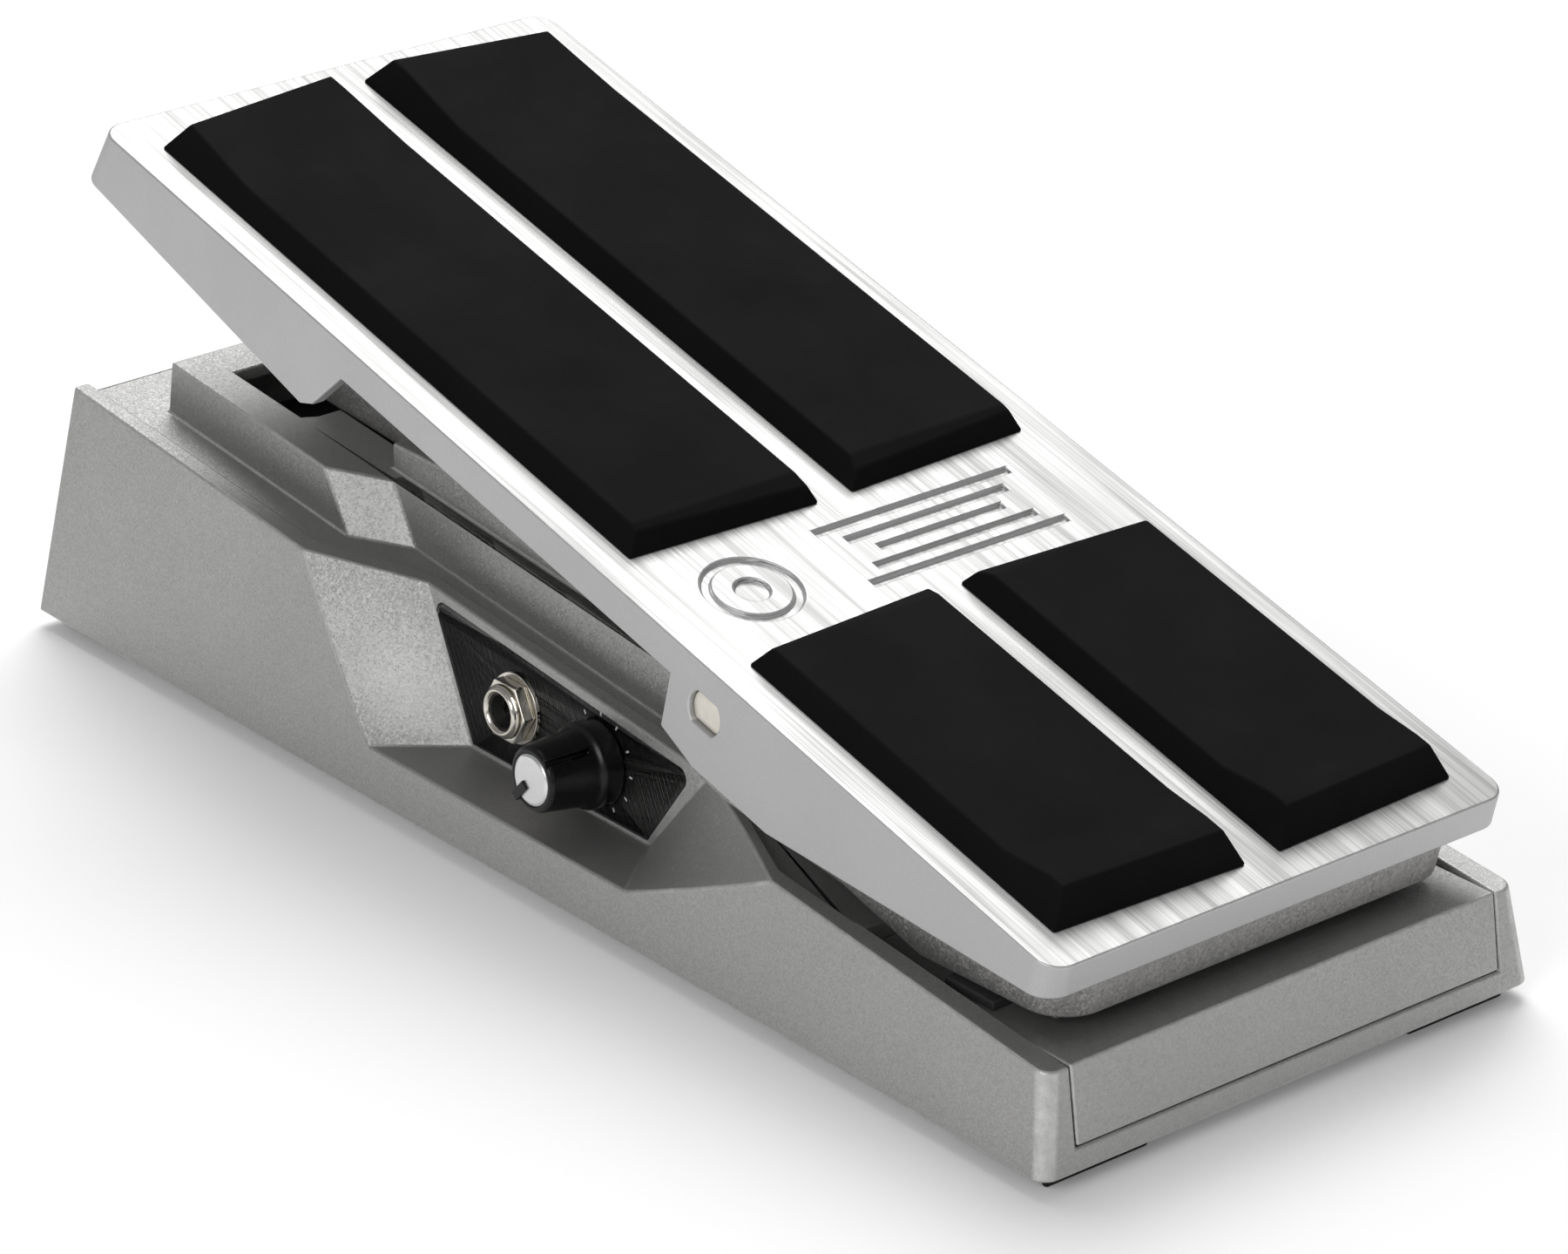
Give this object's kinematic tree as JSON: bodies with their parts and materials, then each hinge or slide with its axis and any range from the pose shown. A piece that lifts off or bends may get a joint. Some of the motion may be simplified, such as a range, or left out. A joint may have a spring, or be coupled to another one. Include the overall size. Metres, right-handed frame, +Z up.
{
  "type": "volume pedal",
  "caption": "Foot-operated volume pedal: rocking treadle with ribbed rubber pads on a low wedge-shaped base with side jacks, a small knob and toe-end jacks.",
  "frame": {"origin": "on the floor, under the middle of the base", "axes": "+X to the player's right, +Y from heel to toe, +Z up"},
  "size_m": [0.11, 0.29, 0.1096],
  "materials": {
    "base_paint": "die-cast aluminium in grainy silver paint",
    "treadle_paint": "satin silver paint, brushed top",
    "frame_paint": "rough grey paint on a casting",
    "plate_steel": "zinc-plated sheet",
    "zinc": "zinc-plated steel",
    "nickel": "bright nickel plating",
    "pad_rubber": "matte black rubber with a fine grain",
    "foot_rubber": "black rubber",
    "panel_black": "gloss black",
    "black_plastic": "black moulding",
    "knob_black": "satin black moulding",
    "spun_cap": "spun aluminium",
    "board_green": "green lacquered laminate",
    "brass_part": "turned brass",
    "acetal": "natural acetal",
    "shaft_steel": "nickel-plated steel"
  },
  "bodies": {
    "base": {"base_shell": "base_paint", "heel_cover": "base_paint", "bottom_plate": "plate_steel", "bottom_screws": "zinc", "rubber_feet": "foot_rubber", "side_panel_left": "panel_black", "side_panel_right": "panel_black", "toe_panel": "panel_black", "minimum_pot_body": "zinc", "minimum_pot_nut": "nickel", "circuit_board": "board_green", "board_standoffs": "brass_part", "board_screws": "zinc", "pot_bracket": "zinc", "bracket_screws": "zinc", "main_pot_body": "zinc", "main_pot_nut": "nickel", "pivot_bushing_left": "brass_part", "pivot_bushing_right": "brass_part", "friction_washer_left": "acetal", "friction_washer_right": "acetal", "toe_stop_pads": "foot_rubber", "heel_stop_pads": "foot_rubber", "tuner_jack_housing": "black_plastic", "tuner_jack_sleeve": "nickel", "tuner_jack_washer": "nickel", "tuner_jack_nut": "nickel", "expression_jack_housing": "black_plastic", "expression_jack_sleeve": "nickel", "expression_jack_washer": "nickel", "expression_jack_nut": "nickel", "input_jack_housing": "black_plastic", "input_jack_sleeve": "nickel", "input_jack_washer": "nickel", "input_jack_nut": "nickel", "output_jack_housing": "black_plastic", "output_jack_sleeve": "nickel", "output_jack_washer": "nickel", "output_jack_nut": "nickel"},
    "treadle": {"treadle_shell": "treadle_paint", "treadle_frame": "frame_paint", "toe_pad_left": "pad_rubber", "toe_pad_right": "pad_rubber", "heel_pad_left": "pad_rubber", "heel_pad_right": "pad_rubber", "pivot_shaft": "shaft_steel", "shaft_collars": "zinc", "sector_rack": "acetal", "rack_screws": "zinc"},
    "pinion": {"drive_pinion": "acetal", "pot_shaft": "shaft_steel"},
    "knob": {"volume_knob": "knob_black", "knob_cap": "spun_cap", "minimum_pot_shaft": "shaft_steel"}
  },
  "joints": [
    {"name": "treadle_rock", "type": "hinge", "parent": "base", "child": "treadle", "pos_m": [0, -0.0544, 0.0519], "axis": [1, 0, 0], "range_deg": [-13.9, 0]},
    {"name": "pinion_turn", "type": "hinge", "parent": "base", "child": "pinion", "pos_m": [0, 0.05062, 0.04086], "axis": [1, 0, 0], "range_deg": [0, 250]},
    {"name": "knob_turn", "type": "hinge", "parent": "base", "child": "knob", "pos_m": [-0.03897, -0.0101, 0.0233], "axis": [0.9982, 0, -0.0593], "range_deg": [0, 270]}
  ],
  "couplings": [
    {"joint": "pinion_turn", "follows": "treadle_rock", "ratio": -17.857}
  ]
}
